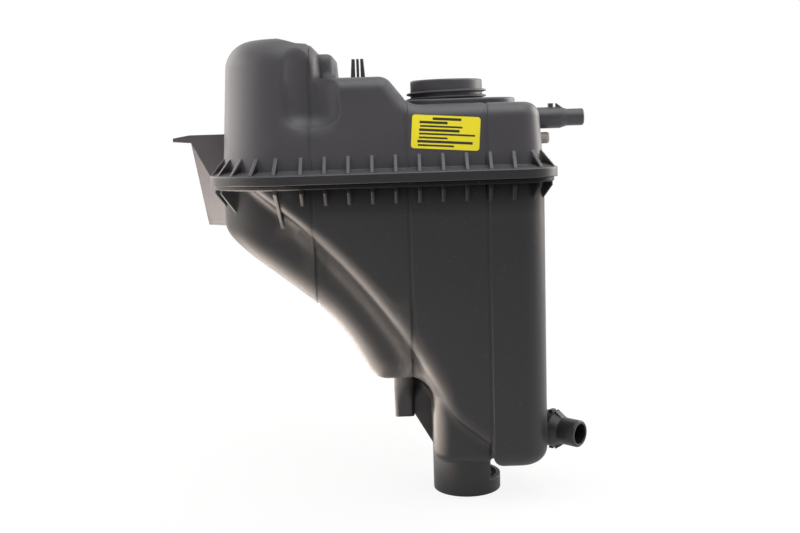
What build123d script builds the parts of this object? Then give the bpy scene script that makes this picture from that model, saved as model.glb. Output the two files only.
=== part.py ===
from build123d import *
import os
from math import cos, radians, sin, sqrt, tan

# Coolant expansion tank of a car: two plastic mouldings welded at a flange, with a level float inside.
# Millimetres, +Z up. The origin is the centre of the mouth of the level-sensor socket under the sump,
# on the middle plane of the tank. +X is the hose side and -Y is the front.

# Body, both shells
wall = 3.0
tank_depth = 98.0
tank_left = 166.8
tank_right = 55.2
end_corner = 20.0
weld_height = 227.3
floor_height = 27.0
baffle_places = (-101.5, -37.4, 15.3)
baffle_thickness = 2.5
crease_width = 2.2
crease_depth = 0.5

# Upper shell, heights above the weld plane
upper_draft = 4.0
dome_height = 97.2
dome_run = 0.5
dome_corner = 29.0
dome_round = 20.0
dome_slope_start = -122.7
dome_lip_start = -108.9
dome_lip_drop = 4.3
dome_lip_bend = 10.0
saddle_height = 86.2
saddle_right = -79.0
saddle_depth = 60.0
saddle_corner = 12.0
saddle_round = 5.0
middle_height = 69.4
deck_height = 50.0
step_place = -42.5
step_run = 15.0
step_top_bend = 11.0
step_foot_bend = 16.0
deck_round = 10.0
scoop_place = -99.5
scoop_radius = 24.0
scoop_depth = 11.0
scoop_floor = 35.2
scoop_round = 13.0

# Lower shell: the shoulder ridge and the keel below it, seen from the front
flank_slope = 38.5
steep_slope = 62.5
ridge_bend = (-64.4, 162.8)
ridge_bend_radius = 395.0
ridge_foot = (-11.2, 64.3)
ridge_foot_radius = 60.0
ridge_round = 7.5
sweep_round = 7.0
keel_depth = 68.0
keel_bend = (-86.3, 130.7)
keel_bend_radius = 125.0
keel_bottom = 88.2
keel_toe_radius = 15.0
keel_round = 13.0
sump_left = -24.1
sump_heel_radius = 14.0
sump_round = 7.0
bay_round = 12.0

# Weld flange and its ribs
flange_reach = 9.0
flange_upper = 6.3
flange_slope = 2.4
flange_lower = 3.2
flange_set_back = 2.3
flange_edge = 0.8
rib_pitch = 15.6
rib_start = -107.6
rib_thickness = 2.4
end_rib_turn = 16.5
corner_rib_turns = (57.0, 24.0)
side_rib_place = 22.0
upper_rib_rise = 10.1
upper_rib_lip = 0.8
upper_rib_set_back = 1.0
upper_rib_root = 2.0
lower_rib_drop = 11.0
lower_rib_lip = 2.6
lower_rib_set_back = 2.7
lower_rib_root = 12.0
bare_end_ribs = (3, 4)

# Filler neck, heights above the weld plane
neck_place = -8.3
neck_radius = 25.0
neck_rim = 67.2
neck_bore = 21.0
neck_edge = 1.2
pad_left = -42.0
pad_right = 38.5
pad_depth = 62.0
pad_height = 53.8
pad_corner = 24.0
pad_edge = 1.5

# Vent nipple, on the right-hand wall of the upper shell
vent_height = 39.0
vent_root_radius = 7.4
vent_root_reach = 70.9
vent_cone_reach = 75.8
vent_tip_reach = 87.4
vent_tip_radius = 5.9
vent_bore = 4.2
vent_lug_tops = 10.0
vent_lug_place = 63.0

# Return nipple, low on the right-hand wall of the lower shell
return_place = -14.0
return_height = 47.0
return_turn = 43.0
return_root_radius = 12.4
return_root_length = 10.9
return_cone_length = 16.9
return_length = 30.4
return_tip_radius = 9.4
return_bore = 7.2
return_lug_tops = 14.0
return_lug_place = 5.9

# Lugs that hold a hose clip on a nipple
lug_width = 5.0
lug_length = 3.0
lug_gap = 2.2
lug_ramp = 5.5
nipple_tip_round = 0.8

# Sensor socket under the sump, with its clip window, and the closed well above it
socket_radius = 24.4
socket_bore = 21.4
socket_merge = 15.0
window_place = 16.0
window_low = 10.0
window_high = 25.0
well_radius = 4.4
well_bore = 3.0
well_spare = 4.0
well_round = 1.0

# Foot under the keel and its web
foot_left = -51.3
foot_right = -37.2
foot_low = 56.0
foot_depth = 18.0
foot_round = 3.0
web_thickness = 3.0
foot_merge = 1.5
web_low = 33.4

# Side bracket behind the round end, heights above the weld plane
bracket_front = 31.0
bracket_depth = 26.0
bracket_top = 34.7
bracket_low = -33.3
bracket_top_left = -196.0
bracket_low_left = -184.8
bracket_splay = 5.1
bracket_join = -140.0
bracket_clearance = 1.0
bracket_wall = 3.2
bracket_facet_place = -192.5
bracket_facet_height = 24.2
bracket_facet_normal = (-0.60, -0.73, -0.31)
bracket_lip_reach = 12.2
bracket_lip_root = 6.0
bracket_lip_tip = 2.7
bracket_lip_fall = 2.0
bracket_hole_radius = 3.4
bracket_hole_place = -184.0

# Hose-clip fork on the middle block and stop pip on the right-hand wall
fork_place = -69.5
fork_gap = 4.0
fork_prong = 3.2
fork_tip = 2.0
fork_tongue = 1.6
fork_depth = 9.0
fork_height = 14.0
pip_height = 25.2
pip_radius = 4.0
pip_reach = 63.3
pip_round = 1.5

# Level float on the well, with its magnet and the rod that shows the level in the neck
float_clearance = 0.6
float_radius = 12.4
float_height = 36.0
float_seat = 0.3
float_travel = 32.0
float_round = 1.5
magnet_inner = 6.4
magnet_outer = 9.4
magnet_height = 6.0
magnet_fit = 0.1
rod_radius = 2.4
rod_fit = 0.1
rod_root = 6.0
rod_top = 32.2
rod_tip_round = 1.5
rod_collar_radius = 4.4
rod_collar_height = 3.0
guide_clearance = 0.5
guide_wall = 2.4
guide_height = 6.0
guide_place = 22.2
guide_arm = 4.0

# Label on the front wall
label_width = 45.0
label_height = 22.0
label_corner = 2.0
label_thickness = 0.25
label_place = -11.6
label_centre = 31.1
label_turn = -4.2

# Passages through the baffles: at the weld plane, and low in the belly
passage_width = 40.0
passage_height = 26.0
passage_round = 8.0
low_passage_rise = 28.0
low_passage_width = 30.0
low_passage_height = 30.0

front_wall = -tank_depth / 2
dome_end = tank_depth / 2 - tank_left + dome_run
deck_level = weld_height + deck_height
floor_top = floor_height + wall
float_bottom = floor_top + float_seat
float_top = float_bottom + float_height
well_top = float_top + float_travel + well_spare
guide_level = weld_height + guide_place


def round_end_plan(left, right, half_depth, corner):
    """Draw a plan with a round left end and two rounded corners on the right."""
    centre = left + half_depth
    with BuildSketch() as plan:
        with BuildLine():
            front = Line((centre, -half_depth), (right - corner, -half_depth))
            front_corner = JernArc(start=front @ 1, tangent=(1, 0), radius=corner, arc_size=90)
            end = Line(front_corner @ 1, (right, half_depth - corner))
            back_corner = JernArc(start=end @ 1, tangent=(0, 1), radius=corner, arc_size=90)
            back = Line(back_corner @ 1, (centre, half_depth))
            ThreePointArc(back @ 1, (left, 0), front @ 0)
        make_face()
    return plan.sketch


def tank_plan(outset):
    """Draw the plan of the tank wall, grown by outset."""
    return round_end_plan(
        -tank_left - outset, tank_right + outset, tank_depth / 2 + outset, end_corner + outset
    )


def keel_plan(outset):
    """Draw the plan of the keel, which runs on past the last baffle to the right-hand wall."""
    return round_end_plan(
        -tank_left - outset, tank_right + outset, keel_depth / 2 + outset, end_corner + outset
    )


def slope_point(corner, slope, x):
    """Give the point at x on the line that falls to the right through a corner."""
    return (x, corner[1] + (corner[0] - x) * tan(radians(slope)))


def under_ridge(growth):
    """Draw the space below the shoulder ridge, grown by growth."""
    far_left, far_right, low = -2 * tank_left, 2 * tank_right, -weld_height
    with BuildSketch() as space:
        with BuildLine():
            ridge = FilletPolyline(
                slope_point(ridge_bend, flank_slope, far_left),
                ridge_bend,
                ridge_foot,
                slope_point(ridge_foot, flank_slope, far_right),
                radius=[ridge_bend_radius, ridge_foot_radius],
            )
            Polyline(ridge @ 1, (far_right, low), (far_left, low), ridge @ 0)
        make_face()
        if growth:
            offset(amount=growth, kind=Kind.INTERSECTION)
    return space.sketch


def under_keel(growth):
    """Draw the space below the keel and left of the sump, grown by growth."""
    far_left, low = -2 * tank_left, -weld_height
    toe = keel_bend[0] + (keel_bend[1] - keel_bottom) / tan(radians(steep_slope))
    with BuildSketch() as space:
        with BuildLine():
            keel = FilletPolyline(
                slope_point(keel_bend, flank_slope, far_left),
                keel_bend,
                (toe, keel_bottom),
                (sump_left, keel_bottom),
                (sump_left, low),
                radius=[keel_bend_radius, keel_toe_radius, sump_heel_radius],
            )
            Polyline(keel @ 1, (far_left, low), keel @ 0)
        make_face()
        if growth:
            offset(amount=growth, kind=Kind.INTERSECTION)
    return space.sketch


def recess_form(inset):
    """Make the space beside the keel and under the ridge, with its swept inner edge."""
    with BuildPart() as recess:
        with BuildSketch(Plane.XZ):
            add(under_ridge(inset))
        extrude(amount=tank_depth, both=True)
        with BuildSketch(Plane.XY.offset(-2 * weld_height)):
            add(keel_plan(-inset))
        extrude(amount=5 * weld_height, mode=Mode.SUBTRACT)
        inner = keel_depth / 2 - inset + 0.01
        rim = recess.edges().filter_by(
            lambda edge: abs(edge.center().Y) < inner
            and abs((edge % 0.5).Z) < 0.99
            and edge.center().Z > 0
        )
        fillet(rim, sweep_round + inset)
    return recess.part


def belly_form(inset):
    """Make the belly left of the last baffle: the shoulder above the ridge and the narrower keel below."""
    with BuildPart() as belly:
        with BuildSketch(Plane.XY.offset(weld_height)):
            add(tank_plan(-inset))
        extrude(amount=-2 * weld_height)
        add(recess_form(inset), mode=Mode.SUBTRACT)
        with BuildSketch(Plane.XZ):
            add(under_keel(inset))
        extrude(amount=tank_depth, both=True, mode=Mode.SUBTRACT)
        split(bisect_by=Plane.YZ.offset(baffle_places[2]), keep=Keep.BOTTOM)
        split(bisect_by=Plane.XY.offset(floor_height + inset), keep=Keep.TOP)
        outer = tank_depth / 2 - inset - 0.01
        if ridge_round > inset:
            ridge = belly.edges().filter_by(
                lambda edge: abs(edge.center().Y) > outer
                and abs((edge % 0.5).Z) < 0.99
                and floor_height < edge.center().Z < weld_height - 1
            )
            fillet(ridge, ridge_round - inset)
        level = keel_bottom + inset
        underside = belly.edges().filter_by(
            lambda edge: edge.geom_type == GeomType.LINE and abs(edge.center().Z - level) < 0.01
        ).filter_by(Axis.X)
        fillet(underside, keel_round - inset)
        rim = belly.faces().sort_by(Axis.Z)[0].edges()
        fillet(rim.filter_by(lambda edge: edge.center().X < baffle_places[2] - 0.1), sump_round - inset)
    return belly.part


def bay_form(inset):
    """Make the full-depth bay at the hose end, right of the last baffle."""
    with BuildPart() as bay:
        with BuildSketch(Plane.XY.offset(weld_height)):
            add(tank_plan(-inset))
        extrude(amount=-(weld_height - floor_height - inset))
        split(bisect_by=Plane.YZ.offset(baffle_places[2]), keep=Keep.TOP)
        fillet(bay.faces().sort_by(Axis.Z)[0].edges(), bay_round - inset)
    return bay.part


def lower_form(inset):
    """Make the lower shell's solid form, moved inwards by inset."""
    with BuildPart() as lower:
        add(belly_form(inset))
        add(bay_form(inset))
    return lower.part


def deck_skyline(inset):
    """Draw the space under the middle block, the step and the deck, moved inwards by inset."""
    far_left, far_right = -2 * tank_left, 2 * tank_right
    middle_level = weld_height + middle_height
    with BuildSketch() as skyline:
        with BuildLine():
            step = FilletPolyline(
                (far_left, middle_level),
                (step_place - step_run / 2, middle_level),
                (step_place + step_run / 2, deck_level),
                (far_right, deck_level),
                radius=[step_top_bend, step_foot_bend],
            )
            Polyline(step @ 1, (far_right, 0), (far_left, 0), step @ 0)
        make_face()
        if inset:
            offset(amount=-inset, kind=Kind.INTERSECTION)
    return skyline.sketch


def deck_form(inset):
    """Make the drafted block of the middle and the deck under one stepped skyline."""
    with BuildPart() as deck:
        with BuildSketch(Plane.XY.offset(weld_height)):
            add(tank_plan(-inset))
        extrude(amount=dome_height, taper=upper_draft)
        with BuildSketch(Plane.XZ):
            add(deck_skyline(inset))
        extrude(amount=tank_depth, both=True, mode=Mode.INTERSECT)
        top = deck.edges().filter_by(Axis.X).filter_by(lambda edge: edge.center().Z > weld_height + 1)
        fillet(top, deck_round - inset)
    return deck.part


def dome_form(inset):
    """Make the drafted dome over the round end."""
    with BuildPart() as dome:
        with BuildSketch(Plane.XY.offset(weld_height)):
            add(
                round_end_plan(
                    inset - tank_left,
                    dome_end + dome_corner - inset,
                    tank_depth / 2 - inset,
                    dome_corner - inset,
                )
            )
        extrude(amount=dome_height - inset, taper=upper_draft)
        fillet(dome.faces().sort_by(Axis.Z)[-1].edges(), dome_round - inset)
        top = weld_height + dome_height - inset
        with BuildSketch(Plane.XZ):
            with BuildLine():
                slope = FilletPolyline(
                    (dome_slope_start, top),
                    (dome_lip_start, top - dome_lip_drop),
                    (0, top - dome_lip_drop),
                    radius=dome_lip_bend,
                )
                Polyline(slope @ 1, (0, 2 * top), (dome_slope_start, 2 * top), slope @ 0)
            make_face()
        extrude(amount=tank_depth, both=True, mode=Mode.SUBTRACT)
    return dome.part


def saddle_form(inset):
    """Make the saddle that joins the dome to the middle block behind the scoop."""
    with BuildPart() as saddle:
        with BuildSketch(Plane.XY.offset(weld_height)):
            with Locations(((dome_end + saddle_right) / 2, 0)):
                RectangleRounded(
                    saddle_right - dome_end - 2 * inset, saddle_depth - 2 * inset, saddle_corner - inset
                )
        extrude(amount=saddle_height - inset, taper=upper_draft)
        fillet(saddle.faces().sort_by(Axis.Z)[-1].edges(), saddle_round - inset)
    return saddle.part


def scoop_form(growth):
    """Make the round-bottomed scoop between the dome and the middle block, grown by growth."""
    drafted_wall = front_wall + scoop_floor * tan(radians(upper_draft))
    depth_place = drafted_wall - scoop_radius + scoop_depth
    with BuildPart() as scoop:
        with BuildSketch(Plane.XY.offset(weld_height + scoop_floor - growth)):
            with Locations((scoop_place, depth_place)):
                Circle(scoop_radius + growth)
        extrude(amount=dome_height)
        fillet(scoop.faces().sort_by(Axis.Z)[0].edges(), scoop_round + growth)
    return scoop.part


def upper_form(inset):
    """Make the upper shell's solid form, moved inwards by inset."""
    with BuildPart() as upper:
        add(deck_form(inset))
        add(dome_form(inset))
        add(saddle_form(inset))
        add(scoop_form(inset), mode=Mode.SUBTRACT)
    return upper.part


def rib_seats(bare):
    """List the centre, reach and heading of the ribs round the flange; bare end ribs are left out."""
    half = tank_depth / 2 + flange_reach
    corner = end_corner + flange_reach
    end_centre = tank_depth / 2 - tank_left
    corner_x = tank_right - end_corner
    corner_y = tank_depth / 2 - end_corner
    end_steps = int(90 / end_rib_turn)
    front_count = 1 + int((corner_x - rib_start) / rib_pitch)
    seats = [(corner_x, 0, corner, 0)]
    for step in range(-end_steps, end_steps + 1):
        if abs(step) not in bare:
            seats.append((end_centre, 0, half, 180 + step * end_rib_turn))
    for side in (-1, 1):
        for step in range(front_count):
            seats.append((rib_start + step * rib_pitch, 0, half, side * 90))
        for turn in corner_rib_turns:
            seats.append((corner_x, side * corner_y, corner, side * turn))
        seats.append((corner_x, side * side_rib_place, corner, 0))
    return seats


def rib_ring(seats, level, rise, lip, set_back, root):
    """Make the gusset ribs on their seats, from a level up (or down, for a negative rise)."""
    back = flange_reach + root
    back_rise = lip + (rise - lip) * (back - set_back) / (flange_reach - set_back)
    with BuildPart() as ribs:
        for x, y, reach, heading in seats:
            outward = Vector(cos(radians(heading)), sin(radians(heading)), 0)
            rib_plane = Plane(
                origin=Vector(x, y, level) + outward * reach,
                x_dir=outward,
                z_dir=outward.cross(Vector(0, 0, 1)),
            )
            with BuildSketch(rib_plane):
                with BuildLine():
                    Polyline((-back, 0), (-set_back, 0), (-set_back, lip), (-back, back_rise), close=True)
                make_face()
        extrude(amount=rib_thickness / 2, both=True)
    return ribs.part


def crease_rings(core):
    """Make the cutters of the creases that the baffles leave outside, down to the core of the form."""
    with BuildPart() as rings:
        for place in baffle_places:
            with BuildSketch(Plane.YZ.offset(place)):
                Rectangle(4 * tank_depth, 4 * weld_height)
        extrude(amount=crease_width / 2, both=True)
        add(core, mode=Mode.SUBTRACT)
    return rings.part


def upper_flange():
    """Make the upper shell's flange, with its top rising to the wall."""
    level = weld_height + flange_upper
    with BuildPart() as flange:
        with BuildSketch(Plane.XY.offset(level)):
            add(tank_plan(flange_reach))
        with BuildSketch(Plane.XY.offset(level + flange_slope)):
            add(tank_plan(0))
        loft()
        with BuildSketch(Plane.XY.offset(weld_height)):
            add(tank_plan(flange_reach))
        extrude(amount=flange_upper)
        rim = flange.edges().filter_by(lambda edge: abs(edge.center().Z - level) < 0.01)
        fillet(rim, flange_edge)
    return flange.part


def lower_flange():
    """Make the lower shell's flange, set back under the upper one."""
    with BuildPart() as flange:
        with BuildSketch(Plane.XY.offset(weld_height)):
            add(tank_plan(flange_reach - flange_set_back))
        extrude(amount=-flange_lower)
        fillet(flange.faces().sort_by(Axis.Z)[0].edges(), flange_edge)
    return flange.part


def baffle_slabs():
    """Make the three baffles as slabs across the whole tank."""
    with BuildPart() as slabs:
        for place in baffle_places:
            with BuildSketch(Plane.YZ.offset(place)):
                Rectangle(2 * tank_depth, 4 * weld_height)
        extrude(amount=baffle_thickness / 2, both=True)
    return slabs.part


def passage(place, level, width, height):
    """Make one rounded passage through a baffle, centred at a level."""
    with BuildPart() as hole:
        with BuildSketch(Plane.YZ.offset(place)):
            with Locations((0, level)):
                RectangleRounded(width, height, passage_round)
        extrude(amount=baffle_thickness, both=True)
    return hole.part


def nipple_body(plane, root_radius, root_end, cone_end, tip_end, tip_radius, start):
    """Make a hose nipple along the plane's normal: root, cone, tube and a soft tip."""
    with BuildPart() as nipple:
        with BuildSketch(Plane(origin=plane.origin, x_dir=plane.x_dir, z_dir=plane.y_dir)):
            with BuildLine():
                Polyline(
                    (0, -start),
                    (root_radius, -start),
                    (root_radius, -root_end),
                    (tip_radius, -cone_end),
                    (tip_radius, nipple_tip_round - tip_end),
                    (tip_radius - nipple_tip_round, -tip_end),
                    (0, -tip_end),
                    close=True,
                )
            make_face()
        revolve(axis=Axis(plane.origin, plane.z_dir))
    return nipple.part


def nipple_lugs(plane, root_radius, tops, stop, both_sides):
    """Make the lugs on a nipple: an upright stop, a gap for the clip, then a ramp."""
    ramp = stop + lug_length + lug_gap
    with BuildPart() as lugs:
        across = plane.z_dir.cross(Vector(0, 0, 1))
        with BuildSketch(Plane(origin=plane.origin, x_dir=plane.z_dir, z_dir=across)):
            for side in (1, -1) if both_sides else (1,):
                with BuildLine():
                    Polyline(
                        (stop, side * root_radius / 2),
                        (stop, side * tops),
                        (stop + lug_length, side * tops),
                        (stop + lug_length, side * root_radius / 2),
                        close=True,
                    )
                make_face()
                with BuildLine():
                    Polyline(
                        (ramp, side * root_radius / 2),
                        (ramp, side * tops),
                        (ramp + lug_ramp, side * root_radius * 0.8),
                        (ramp + lug_ramp, side * root_radius / 2),
                        close=True,
                    )
                make_face()
        extrude(amount=lug_width / 2, both=True)
    return lugs.part


def bracket_block(margin):
    """Make the bracket's block, splayed to the left at the back, with its free sides moved in by margin."""
    top = weld_height + bracket_top - margin
    low = weld_height + bracket_low + margin
    with BuildPart() as block:
        for depth, splay in ((0, 0), (bracket_depth, bracket_splay)):
            with BuildSketch(Plane.XZ.offset(-bracket_front - depth)):
                with BuildLine():
                    Polyline(
                        (bracket_join, top),
                        (bracket_top_left + margin - splay, top),
                        (bracket_low_left + margin - splay, low),
                        (bracket_join, low),
                        close=True,
                    )
                make_face()
        loft()
    return block.part


def bracket_form():
    """Make the side bracket: a web, a shelf with the bolt hole, a lip and a floor, open at the back."""
    flange_radius = tank_depth / 2 + flange_reach
    end_centre = tank_depth / 2 - tank_left
    inner = end_centre - sqrt(flange_radius**2 - bracket_front**2) - bracket_clearance
    top = weld_height + bracket_top
    web_plane = Plane.XZ.offset(-bracket_front)
    facet = Plane(
        origin=(bracket_facet_place, bracket_front, weld_height + bracket_facet_height),
        z_dir=bracket_facet_normal,
    )
    with BuildPart() as pocket:
        add(bracket_block(bracket_wall))
        split(bisect_by=web_plane.offset(-bracket_wall), keep=Keep.BOTTOM)
        split(bisect_by=facet.offset(-bracket_wall), keep=Keep.BOTTOM)
    with BuildPart() as bracket:
        add(bracket_block(0))
        with BuildSketch(Plane.XZ):
            with Locations((inner, weld_height - flange_lower / 2)):
                Rectangle(tank_left, weld_height, align=(Align.MIN, Align.MIN))
        extrude(amount=tank_depth, both=True, mode=Mode.SUBTRACT)
        split(bisect_by=facet, keep=Keep.BOTTOM)
        add(pocket.part, mode=Mode.SUBTRACT)
        with BuildSketch(web_plane):
            with BuildLine():
                Polyline(
                    (bracket_top_left, top),
                    (bracket_top_left - bracket_lip_reach, top - bracket_lip_fall),
                    (bracket_top_left - bracket_lip_reach, top - bracket_lip_fall - bracket_lip_tip),
                    (bracket_top_left + bracket_wall, top - bracket_lip_root),
                    (bracket_top_left + bracket_wall, top),
                    close=True,
                )
            make_face()
        extrude(amount=-bracket_depth)
        with Locations((bracket_hole_place, bracket_front + bracket_depth / 2, top)):
            Hole(bracket_hole_radius, 2 * bracket_wall)
    return bracket.part


def foot_form():
    """Make the foot under the keel and the web that ties it to the sump."""
    root = keel_bottom + foot_merge
    with BuildPart() as foot:
        with BuildSketch(Plane.XY.offset(foot_low)):
            with Locations(((foot_left + foot_right) / 2, 0)):
                RectangleRounded(foot_right - foot_left, foot_depth, foot_round)
        extrude(amount=root - foot_low)
        with BuildSketch(Plane.XZ):
            with BuildLine():
                Polyline(
                    (foot_right - foot_round, root),
                    (foot_right - foot_round, foot_low),
                    (foot_right, foot_low),
                    (sump_left, web_low),
                    (sump_left + foot_merge, web_low),
                    (sump_left + foot_merge, root),
                    close=True,
                )
            make_face()
        extrude(amount=web_thickness / 2, both=True)
    return foot.part


def fork_form():
    """Make the hose-clip fork on the middle block: two tapered prongs and the tongue between them."""
    root = weld_height + middle_height - wall
    tip = weld_height + middle_height + fork_height
    with BuildPart() as fork:
        with BuildSketch(Plane.XZ):
            for side in (-1, 1):
                inner = fork_place + side * fork_gap / 2
                with BuildLine():
                    Polyline(
                        (inner, root),
                        (inner + side * fork_prong, root),
                        (inner + side * fork_tip, tip),
                        (inner, tip),
                        close=True,
                    )
                make_face()
            with Locations((fork_place, root)):
                Rectangle(fork_tongue, tip - root, align=(Align.CENTER, Align.MIN))
        extrude(amount=fork_depth / 2, both=True)
    return fork.part


def pip_form():
    """Make the round stop pip on the right-hand wall, under the vent nipple."""
    with BuildPart() as pip:
        with BuildSketch(Plane.YZ.offset(tank_right - 3 * wall)):
            with Locations((0, weld_height + pip_height)):
                Circle(pip_radius)
        extrude(amount=pip_reach - tank_right + 3 * wall)
        fillet(pip.faces().sort_by(Axis.X)[-1].edges(), pip_round)
    return pip.part


def filler_form():
    """Make the solid filler neck on its raised pad."""
    root = deck_level - wall
    with BuildPart() as filler:
        with BuildSketch(Plane.XY.offset(root)):
            with Locations(((pad_left + pad_right) / 2, 0)):
                RectangleRounded(pad_right - pad_left, pad_depth, pad_corner)
        extrude(amount=weld_height + pad_height - root)
        fillet(filler.faces().sort_by(Axis.Z)[-1].edges(), pad_edge)
        with BuildSketch(Plane.XY.offset(root)):
            with Locations((neck_place, 0)):
                Circle(neck_radius)
        extrude(amount=weld_height + neck_rim - root)
        fillet(filler.faces().sort_by(Axis.Z)[-1].edges(), neck_edge)
    return filler.part


def well_form():
    """Make the solid of the closed well that stands on the floor above the sensor socket."""
    with BuildPart() as well:
        with BuildSketch(Plane.XY.offset(floor_height)):
            Circle(well_radius)
        extrude(amount=well_top - floor_height)
        fillet(well.faces().sort_by(Axis.Z)[-1].edges(), well_round)
    return well.part


os.makedirs("parts", exist_ok=True)

# Planes of the two nipples, with the normal along the hose and the local Y upright
vent_plane = Plane(origin=(0, 0, weld_height + vent_height), x_dir=(0, 1, 0), z_dir=(1, 0, 0))
return_heading = Vector(cos(radians(return_turn)), -sin(radians(return_turn)), 0)
return_plane = Plane(
    origin=(tank_right, return_place, return_height),
    x_dir=Vector(0, 0, 1).cross(return_heading),
    z_dir=return_heading,
)

# Upper shell
with BuildPart() as upper_cavity:
    add(upper_form(wall))
    add(baffle_slabs(), mode=Mode.SUBTRACT)
    for place in baffle_places:
        add(passage(place, weld_height, passage_width, passage_height))

with BuildPart() as upper_shell:
    add(upper_form(0))
    add(crease_rings(upper_form(crease_depth)), mode=Mode.SUBTRACT)
    add(upper_flange())
    add(
        rib_ring(
            rib_seats(()), weld_height + flange_upper, upper_rib_rise, upper_rib_lip, upper_rib_set_back,
            upper_rib_root,
        )
    )
    add(filler_form())
    add(
        nipple_body(
            vent_plane, vent_root_radius, vent_root_reach, vent_cone_reach, vent_tip_reach, vent_tip_radius,
            tank_right - 3 * wall,
        )
    )
    add(nipple_lugs(vent_plane, vent_root_radius, vent_lug_tops, vent_lug_place, False))
    add(pip_form())
    add(fork_form())
    add(upper_cavity.part, mode=Mode.SUBTRACT)
    with BuildSketch(Plane.XY.offset(weld_height + neck_rim)):
        with Locations((neck_place, 0)):
            Circle(neck_bore)
    extrude(amount=-(neck_rim - deck_height + 2 * wall), mode=Mode.SUBTRACT)
    with BuildSketch(vent_plane.offset(tank_right - 4 * wall)):
        Circle(vent_bore)
    extrude(amount=vent_tip_reach, mode=Mode.SUBTRACT)
    with BuildSketch(Plane.XY.offset(guide_level)):
        with Locations(((neck_place + baffle_places[2]) / 2, 0)):
            Rectangle(baffle_places[2] - neck_place, guide_arm)
        with Locations((neck_place, 0)):
            Circle(rod_radius + guide_clearance + guide_wall)
            Circle(rod_radius + guide_clearance, mode=Mode.SUBTRACT)
    extrude(amount=guide_height)
upper_shell.part.label = "upper_shell"
export_step(upper_shell.part, "parts/upper_shell.step")

# Lower shell
with BuildPart() as seam_passages:
    for place in baffle_places:
        add(passage(place, weld_height, passage_width, passage_height))
    split(bisect_by=Plane.XY.offset(weld_height), keep=Keep.BOTTOM)

keel_level = slope_point(keel_bend, flank_slope, baffle_places[0])[1]
with BuildPart() as lower_cavity:
    add(lower_form(wall))
    add(baffle_slabs(), mode=Mode.SUBTRACT)
    add(seam_passages.part)
    for place, bottom in zip(baffle_places, (keel_level, keel_bottom, floor_height)):
        add(passage(place, bottom + low_passage_rise, low_passage_width, low_passage_height))

with BuildPart() as lower_shell:
    add(lower_form(0))
    add(crease_rings(lower_form(crease_depth)), mode=Mode.SUBTRACT)
    add(lower_flange())
    add(
        rib_ring(
            rib_seats(bare_end_ribs), weld_height - flange_lower, -lower_rib_drop, -lower_rib_lip,
            lower_rib_set_back, lower_rib_root,
        )
    )
    add(bracket_form())
    add(foot_form())
    Cylinder(socket_radius, floor_height + socket_merge, align=(Align.CENTER, Align.CENTER, Align.MIN))
    add(
        nipple_body(
            return_plane, return_root_radius, return_root_length, return_cone_length, return_length,
            return_tip_radius, -2 * return_root_radius,
        )
    )
    add(nipple_lugs(return_plane, return_root_radius, return_lug_tops, return_lug_place, True))
    add(lower_cavity.part, mode=Mode.SUBTRACT)
    add(well_form())
    Cylinder(socket_bore, floor_height, align=(Align.CENTER, Align.CENTER, Align.MIN), mode=Mode.SUBTRACT)
    with BuildSketch(Plane.XY):
        Circle(well_bore)
    extrude(amount=well_top - well_radius + well_bore, mode=Mode.SUBTRACT)
    with BuildSketch(Plane.XY.offset(window_low)):
        with Locations((window_place, 0)):
            Rectangle(2 * socket_radius, 2 * socket_radius, align=(Align.MIN, Align.CENTER))
    extrude(amount=window_high - window_low, mode=Mode.SUBTRACT)
    with BuildSketch(return_plane.offset(-2 * return_root_radius)):
        Circle(return_bore)
    extrude(amount=3 * return_length, mode=Mode.SUBTRACT)
lower_shell.part.label = "lower_shell"
export_step(lower_shell.part, "parts/lower_shell.step")

# Level float, with its pocket for the magnet and its hole for the rod
with BuildPart() as level_float:
    with BuildSketch(Plane.XY.offset(float_bottom)):
        Circle(float_radius)
    extrude(amount=float_height)
    fillet(level_float.edges().filter_by(GeomType.CIRCLE), float_round)
    with BuildSketch(Plane.XY.offset(float_bottom)):
        Circle(well_radius + float_clearance)
    extrude(amount=float_height, mode=Mode.SUBTRACT)
    with BuildSketch(Plane.XY.offset(float_bottom)):
        Circle(magnet_outer + magnet_fit)
        Circle(magnet_inner - magnet_fit, mode=Mode.SUBTRACT)
    extrude(amount=magnet_height, mode=Mode.SUBTRACT)
    with BuildSketch(Plane.XY.offset(float_top - rod_root)):
        with Locations((neck_place, 0)):
            Circle(rod_radius + rod_fit)
    extrude(amount=rod_root, mode=Mode.SUBTRACT)
level_float.part.label = "level_float"
export_step(level_float.part, "parts/level_float.step")

# Ring magnet in the bottom of the float
with BuildPart() as float_magnet:
    with BuildSketch(Plane.XY.offset(float_bottom)):
        Circle(magnet_outer)
        Circle(magnet_inner, mode=Mode.SUBTRACT)
    extrude(amount=magnet_height)
float_magnet.part.label = "float_magnet"
export_step(float_magnet.part, "parts/float_magnet.step")

# Rod on the float, with the collar that stops under the guide
with BuildPart() as indicator_rod:
    with BuildSketch(Plane.XY.offset(float_top - rod_root)):
        with Locations((neck_place, 0)):
            Circle(rod_radius)
    extrude(amount=weld_height + rod_top - float_top + rod_root)
    fillet(indicator_rod.faces().sort_by(Axis.Z)[-1].edges(), rod_tip_round)
    with BuildSketch(Plane.XY.offset(guide_level - float_travel - float_seat)):
        with Locations((neck_place, 0)):
            Circle(rod_collar_radius)
    extrude(amount=-rod_collar_height)
indicator_rod.part.label = "indicator_rod"
export_step(indicator_rod.part, "parts/indicator_rod.step")

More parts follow.
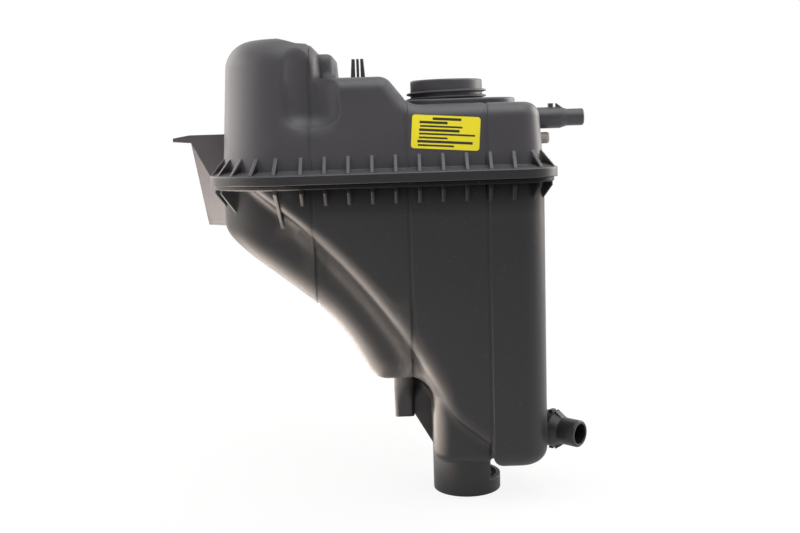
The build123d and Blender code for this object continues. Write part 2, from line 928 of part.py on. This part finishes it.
# Label on the drafted front wall
label_plane = Plane(
    origin=(label_place, front_wall + label_centre * tan(radians(upper_draft)), weld_height + label_centre),
    x_dir=(1, 0, 0),
    z_dir=(0, -cos(radians(upper_draft)), sin(radians(upper_draft))),
)
with BuildPart() as label:
    with BuildSketch(label_plane):
        with Locations(Rotation(0, 0, label_turn)):
            RectangleRounded(label_width, label_height, label_corner)
    extrude(amount=label_thickness)
label.part.label = "label"
export_step(label.part, "parts/label.step")
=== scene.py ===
from math import radians

import bpy
from mathutils import Matrix, Vector


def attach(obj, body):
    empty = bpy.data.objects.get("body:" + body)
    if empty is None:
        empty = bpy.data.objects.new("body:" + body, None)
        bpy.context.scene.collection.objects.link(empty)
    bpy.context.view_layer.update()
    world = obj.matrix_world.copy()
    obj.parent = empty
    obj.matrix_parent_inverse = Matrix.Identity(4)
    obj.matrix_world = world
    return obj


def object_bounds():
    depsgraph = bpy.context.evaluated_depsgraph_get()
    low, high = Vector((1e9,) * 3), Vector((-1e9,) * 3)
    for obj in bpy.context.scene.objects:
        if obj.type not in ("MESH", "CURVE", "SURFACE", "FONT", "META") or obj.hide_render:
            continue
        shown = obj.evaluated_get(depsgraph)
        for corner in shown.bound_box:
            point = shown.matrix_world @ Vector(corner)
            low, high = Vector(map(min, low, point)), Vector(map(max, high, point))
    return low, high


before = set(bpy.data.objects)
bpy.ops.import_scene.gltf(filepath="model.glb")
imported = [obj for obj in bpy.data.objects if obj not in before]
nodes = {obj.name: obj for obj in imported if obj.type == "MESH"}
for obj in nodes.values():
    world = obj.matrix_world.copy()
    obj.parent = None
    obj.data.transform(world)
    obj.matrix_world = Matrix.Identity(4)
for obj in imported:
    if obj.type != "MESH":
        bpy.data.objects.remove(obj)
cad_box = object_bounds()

# Sizes and places of the tank, in metres
weld_height = 0.2273
neck_place = -0.0083
neck_radius = 0.025
tank_middle = (-0.05, 0.0, 0.17)

# Label: its middle, its turn, and the area that the bars fill
label_place = Vector((-0.0116, -0.049, weld_height + 0.0311))
label_turn = radians(-4.2)
bars_height = 0.0200
bars_width = 0.0450

# Bars on the label from the lowest row up: start and end along the row, half of the thickness
label_bars = [
    (0.10, 0.63, 0.25), (0.09, 0.90, 0.35), (0.11, 0.53, 0.25), (0.11, 0.93, 0.25),
    (0.11, 0.70, 0.35), (0.12, 0.74, 0.25), (0.11, 0.52, 0.35), (0.30, 0.72, 0.35),
]

# Cap thread: its profile stands on the neck wall and winds up the neck
thread_start = weld_height + 0.0541
thread_sink = 0.0006
thread_stand = 0.0027
thread_root_half = 0.0014
thread_crest_half = 0.0005
thread_turn = radians(540)
thread_rise = 0.0056
thread_steps = 108
thread_merge = 0.00001
thread_crease = radians(35)

# Zones of the shell finish: the two places between which each one fades
# Painted light on upper shell, bracket and rising faces, partly dust: where it fades in
painted_light_foot = (0.10, 0.17)
upper_shell_foot = (weld_height + 0.010, weld_height + 0.014)
bracket_edge = (-0.170, -0.167)
belly_foot = (0.066, 0.080)
belly_top = (weld_height - 0.036, weld_height - 0.020)
belly_right = (-0.012, 0.0)
scoop_left = (-0.127, -0.122)
scoop_right = (-0.085, -0.080)
scoop_foot = (weld_height + 0.024, weld_height + 0.030)
# Painted shade under the weld flange: the heights and the left end between which it fades in
painted_shade_foot = (weld_height - 0.024, weld_height - 0.004)
painted_shade_left = (-0.120, -0.106)

# Ridge: how fast it falls along the tank, and its two heights at the origin between which it fades
ridge_fall = 0.946
ridge_line = (0.100, 0.118)

# Stop pip on the right-hand wall, which carries a painted highlight
pip_wall = 0.0570
pip_height = weld_height + 0.0252
pip_radius = 0.0044

# Painted light, partly dust: how far a face looks up before it is painted a little lighter as if lit from
# above, or lighter still where it lies level, and how patchy both are
painted_light_lean = (0.015, 0.065)
painted_top_light_lean = (0.10, 0.75)
light_and_dust_patches = (0.8, 1.0)
speck_strength = 0.15

# Noise levels between which clouds, tool grain and specks run
cloud_levels = (0.3, 0.7)
grain_levels = (0.3, 0.7)
speck_levels = (0.70, 0.78)

# Radius that edges look rounded to
plain_edge = 0.0013
belly_edge = 0.016
scoop_edge = 0.009

# Colours of the finishes
shell_black = (0.0072, 0.0068, 0.0078)
shell_cloud = (0.0100, 0.0095, 0.0107)
# Painted shade under the weld flange
painted_shade_black = (0.004, 0.004, 0.0045)
# Painted light, partly dust: on upper shell, bracket and rising faces, and lighter still on level faces
painted_light_grey = (0.052, 0.049, 0.057)
painted_top_light_grey = (0.068, 0.066, 0.073)
speck_grey = (0.14, 0.13, 0.12)
# Painted highlight on the stop pip
pip_highlight_grey = (0.36, 0.335, 0.315)
sheen_tint = (1.0, 0.93, 0.88)
label_yellow = (0.82, 0.71, 0.015)
label_cloud = (0.88, 0.76, 0.02)
bar_black = (0.03, 0.03, 0.02)
plain_white = (1.0, 1.0, 1.0)

# Gloss and painted shade of the finishes: over the clouds, from the open wall into the painted shade band
# under the flange, and the sheen
shell_roughness = (0.40, 0.48)
label_roughness = (0.36, 0.46)
inside_roughness_swing = 0.08
# Painted shade under the weld flange: specular from the open wall into the band, and how much darker the
# band is painted
painted_shade_specular = (0.5, 0.12)
painted_shade_strength = 0.6
sheen_weight = 0.06
sheen_roughness = 0.35

# Floor: its size, its gap under the tank, its finish, and the ring round the tank that holds the shadow
floor_size = 9.0
floor_gap = 0.0002
floor_grey = (0.86, 0.86, 0.86)
floor_roughness = 0.9
floor_specular = 0.1
shadow_ring = (0.25, 0.75)
shadow_level = 0.86

# Where the floor dims in mirror images, and how far: before the tank, rightward from its left end, behind it
floor_front = (-0.55, -0.15)
floor_front_level = 0.30
floor_right = (-0.20, -0.06)
floor_right_level = 0.40
floor_back = (0.05, 0.35)
floor_back_level = 0.62

# World: its light, and the headings between which it dims in mirror images
world_tint = (1.0, 0.985, 0.965)
world_light = 0.46
world_front = (-0.9, -0.1)
world_front_level = 0.30

# Lamps: name, place, aim, width and length, power in watts, colour
panel_place = (-0.40, 0.01, 0.003)
panel_aim = (-0.40, 0.01, 1.0)
softboxes = [
    ("left_softbox", (-0.95, 0.45, 0.55), tank_middle, (1.0, 0.7), 5.0, (1.0, 0.94, 0.89)),
    ("side_softbox", (-1.4, -0.1, 0.60), tank_middle, (1.2, 0.8), 5.0, (1.0, 0.95, 0.92)),
    ("floor_panel", panel_place, panel_aim, (0.60, 0.36), 5.2, (1.0, 0.86, 0.75)),
    ("top_softbox", (0.30, -0.50, 1.6), tank_middle, (1.6, 1.4), 18.0, (0.97, 0.98, 1.0)),
    ("right_softbox", (1.0, 0.5, 0.50), tank_middle, (0.8, 0.8), 10.5, (1.0, 0.93, 0.88)),
]

# Camera: its place in metres, its lens and sensor in millimetres
camera_place = (-0.044445, -0.709757, 0.261442)
camera_tilt = radians(82.2)
camera_roll = radians(-1.82)
camera_lens = 45.0
camera_sensor = 36.0
camera_near = 0.01


# Shader node helpers

def new_group(name, inputs, outputs):
    """Start a shader node group with named sockets: (name, socket type, default)."""
    group = bpy.data.node_groups.new(name, "ShaderNodeTree")
    for label, kind, default in inputs:
        socket = group.interface.new_socket(label, in_out="INPUT", socket_type=kind)
        if default is not None:
            socket.default_value = default
    for label, kind in outputs:
        group.interface.new_socket(label, in_out="OUTPUT", socket_type=kind)
    entry = group.nodes.new("NodeGroupInput")
    exit_node = group.nodes.new("NodeGroupOutput")
    return group, entry, exit_node


def feed(tree, value, socket):
    """Link another socket to a socket, or set it to a plain number or colour."""
    if isinstance(value, bpy.types.NodeSocket):
        tree.links.new(value, socket)
    elif isinstance(value, tuple):
        socket.default_value = (*value, 1.0)
    else:
        socket.default_value = value


def math_node(tree, operation, *values):
    """Add a Math node; the values are sockets or plain numbers."""
    node = tree.nodes.new("ShaderNodeMath")
    node.operation = operation
    for value, socket in zip(values, node.inputs):
        feed(tree, value, socket)
    return node.outputs["Value"]


def join_all(tree, operation, first, *others):
    """Join any number of sockets by the same operation, one after the other."""
    for other in others:
        first = math_node(tree, operation, first, other)
    return first


def noise_node(tree, vector, scale, detail, roughness=0.5):
    """Add a noise texture that reads a vector socket; the scale is a socket or a number."""
    node = tree.nodes.new("ShaderNodeTexNoise")
    feed(tree, vector, node.inputs["Vector"])
    feed(tree, scale, node.inputs["Scale"])
    feed(tree, detail, node.inputs["Detail"])
    feed(tree, roughness, node.inputs["Roughness"])
    return node.outputs["Fac"]


def range_node(tree, value, limits, results=(0.0, 1.0)):
    """Turn a value that runs from limit to limit into one that runs from result to result."""
    node = tree.nodes.new("ShaderNodeMapRange")
    feed(tree, value, node.inputs["Value"])
    for name, number in zip(("From Min", "From Max", "To Min", "To Max"), (*limits, *results)):
        feed(tree, number, node.inputs[name])
    return node.outputs["Result"]


def fade_out(tree, value, limits, rest=0.0):
    """Give 1 before the first limit, and fade to the rest at the second."""
    return range_node(tree, value, limits, (1.0, rest))


def spread(tree, share, low, high):
    """Turn a share from 0 to 1 into a value from low to high."""
    return range_node(tree, share, (0.0, 1.0), (low, high))


def split_vector(tree, vector):
    """Give the X, Y and Z sockets of a vector socket."""
    node = tree.nodes.new("ShaderNodeSeparateXYZ")
    feed(tree, vector, node.inputs["Vector"])
    return node.outputs


def colour_mix(tree, factor, base, colour):
    """Lay a plain colour over a base by a factor socket; the base is a socket or a plain colour."""
    node = tree.nodes.new("ShaderNodeMix")
    node.data_type = "RGBA"
    feed(tree, base, node.inputs["A"])
    feed(tree, colour, node.inputs["B"])
    feed(tree, factor, node.inputs["Factor"])
    return node.outputs["Result"]


def seen_ray(tree, path):
    """Tell whether a ray shows what it meets: straight, mirrored or through something clear."""
    kinds = ("Is Camera Ray", "Is Glossy Ray", "Is Transmission Ray")
    return join_all(tree, "MAXIMUM", *(path.outputs[kind] for kind in kinds))


# Shared effects: the grain and cloudy flow of moulded plastic, and painted light with some dust

def make_moulded_grain():
    """Group with a fine tool grain, soft clouds and rare dust specks."""
    group, entry, exit_node = new_group(
        "moulded_grain",
        [("Vector", "NodeSocketVector", None), ("Grain Scale", "NodeSocketFloat", 1500.0)],
        [("Clouds", "NodeSocketFloat"), ("Grain", "NodeSocketFloat"), ("Dust", "NodeSocketFloat")],
    )
    vector = entry.outputs["Vector"]
    grain = noise_node(group, vector, entry.outputs["Grain Scale"], detail=2.0)
    clouds = noise_node(group, vector, scale=16.0, detail=4.0, roughness=0.55)
    specks = noise_node(group, vector, scale=620.0, detail=1.0)
    feed(group, range_node(group, clouds, cloud_levels), exit_node.inputs["Clouds"])
    feed(group, grain, exit_node.inputs["Grain"])
    feed(group, range_node(group, specks, speck_levels), exit_node.inputs["Dust"])
    return group


def make_painted_light_and_dust():
    """Group with painted light, partly dust: a thin lighter film on upper shell, bracket and rising faces,
    lighter still on level ones.
    """
    group, entry, exit_node = new_group(
        "painted_light_and_dust",
        [
            ("Normal", "NodeSocketVector", None),
            ("Place", "NodeSocketVector", None),
            ("Clouds", "NodeSocketFloat", 0.5),
        ],
        [("Painted Light", "NodeSocketFloat"), ("Painted Top Light", "NodeSocketFloat")],
    )
    up = split_vector(group, entry.outputs["Normal"])["Z"]
    spot = split_vector(group, entry.outputs["Place"])
    patchy = spread(group, entry.outputs["Clouds"], *light_and_dust_patches)
    reach = math_node(group, "MULTIPLY", range_node(group, spot["Z"], painted_light_foot), patchy)
    # Painted light: rising faces, the upper shell and the bracket get a thin lighter film, level faces more
    rising = range_node(group, up, painted_light_lean)
    high = range_node(group, spot["Z"], upper_shell_foot)
    bracket = fade_out(group, spot["X"], bracket_edge)
    thin = join_all(group, "MAXIMUM", rising, high, bracket)
    level = range_node(group, up, painted_top_light_lean)
    feed(group, math_node(group, "MULTIPLY", thin, reach), exit_node.inputs["Painted Light"])
    feed(group, math_node(group, "MULTIPLY", level, reach), exit_node.inputs["Painted Top Light"])
    return group


grain_group = make_moulded_grain()
painted_light_and_dust_group = make_painted_light_and_dust()


# Parts that the finishes share

def start_material(name):
    """Make a node material and return it with its tree, shader and Object coordinates."""
    material = bpy.data.materials.new(name)
    material.use_nodes = True
    tree = material.node_tree
    shader = tree.nodes["Principled BSDF"]
    place = tree.nodes.new("ShaderNodeTexCoord")
    return material, tree, shader, place.outputs["Object"]


def use_grain(tree, vector, scale):
    """Place the moulded grain group in a material and give its outputs."""
    node = tree.nodes.new("ShaderNodeGroup")
    node.node_tree = grain_group
    feed(tree, scale, node.inputs["Grain Scale"])
    feed(tree, vector, node.inputs["Vector"])
    return node.outputs


def use_painted_light_and_dust(tree, vector, clouds):
    """Place the painted light and dust group in a material and give its outputs."""
    node = tree.nodes.new("ShaderNodeGroup")
    node.node_tree = painted_light_and_dust_group
    feed(tree, clouds, node.inputs["Clouds"])
    feed(tree, vector, node.inputs["Place"])
    feed(tree, tree.nodes["Texture Coordinate"].outputs["Normal"], node.inputs["Normal"])
    return node.outputs


def use_bump(tree, shader, height, strength, distance, edge_radius=None):
    """Feed a height to the shader's normal, over edges that look rounded to a radius socket."""
    bump = tree.nodes.new("ShaderNodeBump")
    feed(tree, strength, bump.inputs["Strength"])
    feed(tree, distance, bump.inputs["Distance"])
    feed(tree, height, bump.inputs["Height"])
    if edge_radius:
        edge = tree.nodes.new("ShaderNodeBevel")
        edge.samples = 8
        feed(tree, edge_radius, edge.inputs["Radius"])
        feed(tree, edge.outputs["Normal"], bump.inputs["Normal"])
    feed(tree, bump.outputs["Normal"], shader.inputs["Normal"])


# Shell plastic

def edge_softness(tree, vector):
    """Give the radius that edges look rounded to: wide on ridge, keel and scoop, fine on the rest."""
    spot = split_vector(tree, vector)
    slope = math_node(tree, "ADD", spot["Z"], math_node(tree, "MULTIPLY", spot["X"], ridge_fall))
    belly = join_all(
        tree, "MULTIPLY",
        fade_out(tree, spot["Z"], belly_top),
        range_node(tree, spot["Z"], belly_foot),
        fade_out(tree, slope, ridge_line),
        fade_out(tree, spot["X"], belly_right),
    )
    scoop = join_all(
        tree, "MULTIPLY",
        range_node(tree, spot["X"], scoop_left),
        fade_out(tree, spot["X"], scoop_right),
        range_node(tree, spot["Z"], scoop_foot),
    )
    return math_node(
        tree, "MAXIMUM",
        spread(tree, belly, plain_edge, belly_edge),
        spread(tree, scoop, plain_edge, scoop_edge),
    )


def flange_shade(tree, vector):
    """Tell how far a spot lies in the band of painted shade under the weld flange, clear of the round end.
    """
    spot = split_vector(tree, vector)
    near = range_node(tree, spot["Z"], painted_shade_foot)
    below = math_node(tree, "LESS_THAN", spot["Z"], weld_height)
    clear = range_node(tree, spot["X"], painted_shade_left)
    return join_all(tree, "MULTIPLY", near, below, clear)


def painted_pip_highlight(tree, vector):
    """Tell whether a spot is on the stop pip on the right-hand wall, where a pale painted highlight lies."""
    spot = split_vector(tree, vector)
    outside = math_node(tree, "GREATER_THAN", spot["X"], pip_wall)
    rise = math_node(tree, "ABSOLUTE", math_node(tree, "SUBTRACT", spot["Z"], pip_height))
    return math_node(tree, "MULTIPLY", outside, math_node(tree, "LESS_THAN", rise, pip_radius))


def make_shell_plastic():
    """Satin black moulded plastic: soft edges, tool grain, dust specks, painted light on upper and level
    faces, painted shade under the flange and a painted highlight on the stop pip.
    """
    material, tree, shader, vector = start_material("shell_plastic")
    grain = use_grain(tree, vector, scale=1500.0)
    # Painted light on the upper shell, bracket and upward faces, partly dust
    dust = use_painted_light_and_dust(tree, vector, grain["Clouds"])
    # Painted shade under the weld flange: a darker colour and a lower specular level
    shade = flange_shade(tree, vector)
    dark_share = math_node(tree, "MULTIPLY", shade, painted_shade_strength)
    speck_share = math_node(tree, "MULTIPLY", grain["Dust"], speck_strength)
    body = colour_mix(tree, grain["Clouds"], shell_black, shell_cloud)
    body = colour_mix(tree, dark_share, body, painted_shade_black)
    # Painted light: upper shell, bracket and rising faces lighter, level faces lighter still
    body = colour_mix(tree, dust["Painted Light"], body, painted_light_grey)
    body = colour_mix(tree, dust["Painted Top Light"], body, painted_top_light_grey)
    body = colour_mix(tree, speck_share, body, speck_grey)
    # Painted highlight on the stop pip
    body = colour_mix(tree, painted_pip_highlight(tree, vector), body, pip_highlight_grey)
    feed(tree, body, shader.inputs["Base Color"])
    feed(tree, spread(tree, grain["Clouds"], *shell_roughness), shader.inputs["Roughness"])
    # Lower specular in the painted shade band under the flange
    feed(tree, spread(tree, shade, *painted_shade_specular), shader.inputs["Specular IOR Level"])
    feed(tree, sheen_weight, shader.inputs["Sheen Weight"])
    feed(tree, sheen_roughness, shader.inputs["Sheen Roughness"])
    feed(tree, sheen_tint, shader.inputs["Sheen Tint"])
    softness = edge_softness(tree, vector)
    use_bump(tree, shader, grain["Grain"], strength=0.18, distance=0.00012, edge_radius=softness)
    return material


# Label film

def label_ink(tree, vector):
    """Tell whether a spot on the label lies in one of its bars."""
    mapping = tree.nodes.new("ShaderNodeMapping")
    mapping.vector_type = "TEXTURE"
    mapping.inputs["Location"].default_value = label_place
    mapping.inputs["Rotation"].default_value = (0.0, -label_turn, 0.0)
    feed(tree, vector, mapping.inputs["Vector"])
    spot = split_vector(tree, mapping.outputs["Vector"])
    along = range_node(tree, spot["X"], (-bars_width / 2, bars_width / 2))
    height = range_node(tree, spot["Z"], (-bars_height / 2, bars_height / 2))
    rows = tree.nodes.new("ShaderNodeValToRGB")
    rows.color_ramp.interpolation = "CONSTANT"
    steps = rows.color_ramp.elements
    while len(steps) < len(label_bars):
        steps.new(0.5)
    for index, bar in enumerate(label_bars):
        steps[index].position = index / len(label_bars)
        steps[index].color = (*bar, 1.0)
    feed(tree, height, rows.inputs["Fac"])
    row = tree.nodes.new("ShaderNodeSeparateColor")
    feed(tree, rows.outputs["Color"], row.inputs["Color"])
    start, end, half_thickness = (row.outputs[name] for name in ("Red", "Green", "Blue"))
    in_row = math_node(tree, "FRACT", math_node(tree, "MULTIPLY", height, len(label_bars)))
    off_middle = math_node(tree, "ABSOLUTE", math_node(tree, "SUBTRACT", in_row, 0.5))
    return join_all(
        tree, "MULTIPLY",
        math_node(tree, "LESS_THAN", off_middle, half_thickness),
        math_node(tree, "GREATER_THAN", along, start),
        math_node(tree, "LESS_THAN", along, end),
    )


def make_label_film():
    """Yellow film with a few plain dark bars."""
    material, tree, shader, vector = start_material("label_film")
    grain = use_grain(tree, vector, scale=900.0)
    film = colour_mix(tree, grain["Clouds"], label_yellow, label_cloud)
    film = colour_mix(tree, label_ink(tree, vector), film, bar_black)
    feed(tree, film, shader.inputs["Base Color"])
    feed(tree, spread(tree, grain["Clouds"], *label_roughness), shader.inputs["Roughness"])
    use_bump(tree, shader, grain["Grain"], strength=0.05, distance=0.0001)
    return material


# Pieces inside the tank

def make_inside_finish(name, dark, light, roughness, grain_scale, grain_depth, metallic=0.0):
    """Plain finish of a small piece inside the tank, a little uneven in colour and gloss."""
    material, tree, shader, vector = start_material(name)
    grain = use_grain(tree, vector, grain_scale)
    swing = (roughness - inside_roughness_swing, roughness + inside_roughness_swing)
    feed(tree, colour_mix(tree, grain["Clouds"], dark, light), shader.inputs["Base Color"])
    feed(tree, range_node(tree, grain["Grain"], grain_levels, swing), shader.inputs["Roughness"])
    feed(tree, metallic, shader.inputs["Metallic"])
    use_bump(tree, shader, grain["Grain"], strength=0.3, distance=grain_depth)
    return material


shell_plastic = make_shell_plastic()
label_film = make_label_film()
float_foam = make_inside_finish(
    "float_foam", dark=(0.50, 0.48, 0.43), light=(0.60, 0.58, 0.52),
    roughness=0.75, grain_scale=700.0, grain_depth=0.0002,
)
magnet_iron = make_inside_finish(
    "magnet_iron", dark=(0.05, 0.05, 0.055), light=(0.09, 0.09, 0.095),
    roughness=0.55, grain_scale=1200.0, grain_depth=0.0001, metallic=0.7,
)
rod_plastic = make_inside_finish(
    "rod_plastic", dark=(0.68, 0.65, 0.58), light=(0.78, 0.75, 0.68),
    roughness=0.45, grain_scale=1600.0, grain_depth=0.0001,
)

# The finish of each solid of the tank
finishes = {
    "upper_shell": shell_plastic,
    "lower_shell": shell_plastic,
    "label": label_film,
    "level_float": float_foam,
    "float_magnet": magnet_iron,
    "indicator_rod": rod_plastic,
}
for solid, finish in finishes.items():
    materials = nodes[solid].data.materials
    materials.clear()
    materials.append(finish)


# Filler thread

def make_filler_thread():
    """Wind the cap thread one and a half turns up the neck, from the left: a ridge profile and a Screw."""
    bpy.ops.object.select_all(action="DESELECT")
    bpy.ops.mesh.primitive_plane_add(size=1.0, location=(neck_place, 0.0, thread_start))
    thread = bpy.context.object
    thread.name = "filler_thread"
    root, crest = -neck_radius + thread_sink, -neck_radius - thread_stand
    profile = [
        (root, -thread_root_half),
        (crest, -thread_crest_half),
        (crest, thread_crest_half),
        (root, thread_root_half),
    ]
    order_round_plane = (0, 1, 3, 2)
    for index, (across, up) in zip(order_round_plane, profile):
        thread.data.vertices[index].co = (across, 0.0, up)
    bpy.ops.object.mode_set(mode="EDIT")
    bpy.ops.mesh.select_all(action="SELECT")
    bpy.ops.mesh.delete(type="ONLY_FACE")
    bpy.ops.object.mode_set(mode="OBJECT")
    screw = thread.modifiers.new("wind", "SCREW")
    screw.angle = thread_turn
    screw.screw_offset = thread_rise
    screw.steps = thread_steps
    screw.render_steps = thread_steps
    bpy.ops.object.modifier_apply(modifier=screw.name)
    bpy.ops.object.mode_set(mode="EDIT")
    bpy.ops.mesh.select_all(action="SELECT")
    bpy.ops.mesh.remove_doubles(threshold=thread_merge)
    bpy.ops.mesh.select_all(action="SELECT")
    bpy.ops.mesh.fill_holes(sides=0)
    bpy.ops.mesh.select_all(action="SELECT")
    bpy.ops.mesh.normals_make_consistent(inside=False)
    bpy.ops.object.mode_set(mode="OBJECT")
    bpy.ops.object.transform_apply(location=True, rotation=True, scale=True)
    bpy.ops.object.shade_smooth_by_angle(angle=thread_crease)
    thread.data.materials.append(shell_plastic)
    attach(thread, "tank")


make_filler_thread()


# Stage, light and camera

def make_floor():
    """Pale floor that shows white, keeps the shadow, and dims in places where the tank mirrors it."""
    bpy.ops.object.select_all(action="DESELECT")
    bpy.ops.mesh.primitive_plane_add(size=floor_size, location=(0.0, 0.0, cad_box[0][2] - floor_gap))
    floor = bpy.context.object
    floor.name = "floor"
    material, tree, shader, vector = start_material("pale_floor")
    feed(tree, floor_grey, shader.inputs["Base Color"])
    feed(tree, floor_roughness, shader.inputs["Roughness"])
    feed(tree, floor_specular, shader.inputs["Specular IOR Level"])
    glow = tree.nodes.new("ShaderNodeEmission")
    feed(tree, plain_white, glow.inputs["Color"])
    feed(tree, 1.0, glow.inputs["Strength"])
    path = tree.nodes.new("ShaderNodeLightPath")
    spot = split_vector(tree, vector)
    mirrored = join_all(
        tree, "MULTIPLY",
        range_node(tree, spot["Y"], floor_front, (floor_front_level, 1.0)),
        fade_out(tree, spot["X"], floor_right, floor_right_level),
        fade_out(tree, spot["Y"], floor_back, floor_back_level),
    )
    level = math_node(tree, "MAXIMUM", mirrored, path.outputs["Is Camera Ray"])
    reach = tree.nodes.new("ShaderNodeVectorMath")
    reach.operation = "LENGTH"
    feed(tree, vector, reach.inputs[0])
    bright = range_node(tree, reach.outputs["Value"], shadow_ring, (shadow_level, 1.0))
    mix = tree.nodes.new("ShaderNodeMixShader")
    feed(tree, join_all(tree, "MULTIPLY", seen_ray(tree, path), bright, level), mix.inputs["Fac"])
    feed(tree, shader.outputs["BSDF"], mix.inputs[1])
    feed(tree, glow.outputs["Emission"], mix.inputs[2])
    feed(tree, mix.outputs["Shader"], tree.nodes["Material Output"].inputs["Surface"])
    floor.data.materials.append(material)


def make_world():
    """White to the camera, dimmer in front where the tank mirrors it, and soft grey as a light."""
    world = bpy.data.worlds.new("studio")
    world.use_nodes = True
    bpy.context.scene.world = world
    tree = world.node_tree
    tree.nodes.clear()
    soft = tree.nodes.new("ShaderNodeBackground")
    feed(tree, world_tint, soft.inputs["Color"])
    feed(tree, world_light, soft.inputs["Strength"])
    path = tree.nodes.new("ShaderNodeLightPath")
    heading = split_vector(tree, tree.nodes.new("ShaderNodeTexCoord").outputs["Generated"])
    mirrored = range_node(tree, heading["Y"], world_front, (world_front_level, 1.0))
    white = tree.nodes.new("ShaderNodeBackground")
    feed(tree, plain_white, white.inputs["Color"])
    level = math_node(tree, "MAXIMUM", mirrored, path.outputs["Is Camera Ray"])
    feed(tree, level, white.inputs["Strength"])
    mix = tree.nodes.new("ShaderNodeMixShader")
    feed(tree, seen_ray(tree, path), mix.inputs["Fac"])
    feed(tree, soft.outputs["Background"], mix.inputs[1])
    feed(tree, white.outputs["Background"], mix.inputs[2])
    output = tree.nodes.new("ShaderNodeOutputWorld")
    feed(tree, mix.outputs["Shader"], output.inputs["Surface"])


def add_softbox(name, place, aim, size, power, colour):
    """Add a rectangular lamp that looks from its place to its aim and stays out of the picture."""
    bpy.ops.object.light_add(type="AREA", location=place)
    lamp = bpy.context.object
    lamp.name = name
    lamp.data.shape = "RECTANGLE"
    lamp.data.size, lamp.data.size_y = size
    lamp.data.energy = power
    lamp.data.color = colour
    lamp.visible_camera = False
    lamp.rotation_euler = (Vector(aim) - Vector(place)).to_track_quat("-Z", "Y").to_euler()


def make_camera():
    """Camera at the photograph's angle: above the tank's middle, looking down and slightly rolled."""
    bpy.ops.object.camera_add(location=camera_place)
    camera = bpy.context.object
    camera.name = "photo_camera"
    camera.data.sensor_width = camera_sensor
    camera.data.lens = camera_lens
    camera.data.clip_start = camera_near
    turn = Matrix.Rotation(camera_tilt, 4, "X") @ Matrix.Rotation(camera_roll, 4, "Z")
    camera.rotation_euler = turn.to_euler()
    bpy.context.scene.camera = camera


make_floor()
make_world()
for softbox in softboxes:
    add_softbox(*softbox)
make_camera()

scene = bpy.context.scene
scene.view_settings.view_transform = "Standard"
